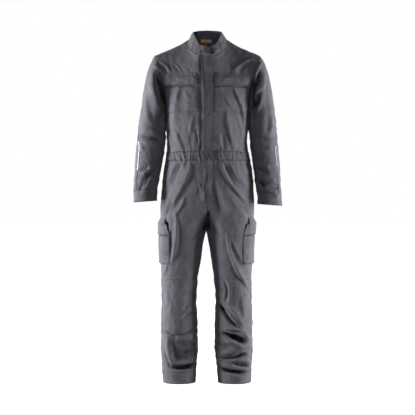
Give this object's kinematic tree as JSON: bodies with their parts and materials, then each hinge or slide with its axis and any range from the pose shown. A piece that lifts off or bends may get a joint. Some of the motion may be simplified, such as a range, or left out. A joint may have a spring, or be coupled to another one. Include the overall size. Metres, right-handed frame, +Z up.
{
  "type": "boiler suit",
  "caption": "One-piece work suit with a stand collar, covered front fastening, gathered waist, long sleeves and legs, and chest, thigh and knee pockets.",
  "frame": {"origin": "middle of the neck opening, level with the shoulder seams at the neck, where a wearer or a hanger holds the suit up", "axes": "+X to the wearer's left, +Y to the wearer's back, +Z up; the suit hangs upright with its legs along -Z"},
  "size_m": [0.6566, 0.2675, 1.5706],
  "materials": {
    "cloth": "matt mid-grey cotton and polyester twill, grey topstitching",
    "piping": "pale silver reflective piping",
    "label": "plain woven label, tan and pale green, with no text"
  },
  "bodies": {
    "root": {"front_right": "cloth", "front_left": "cloth", "back": "cloth", "waistband_right": "cloth", "waistband_left": "cloth", "leg_front_right": "cloth", "leg_front_left": "cloth", "leg_back_right": "cloth", "leg_back_left": "cloth", "sleeve_front_right": "cloth", "sleeve_front_left": "cloth", "sleeve_back_right": "cloth", "sleeve_back_left": "cloth", "cuff_right": "cloth", "cuff_left": "cloth", "collar": "cloth", "placket": "cloth", "chest_pocket_right": "cloth", "chest_pocket_left": "cloth", "chest_flap_right": "cloth", "chest_flap_left": "cloth", "cargo_pocket_right": "cloth", "cargo_pocket_left": "cloth", "cargo_flap_right": "cloth", "cargo_flap_left": "cloth", "knee_pocket_right": "cloth", "knee_pocket_left": "cloth", "piping_right": "piping", "piping_left": "piping", "neck_label": "label"}
  },
  "joints": []
}
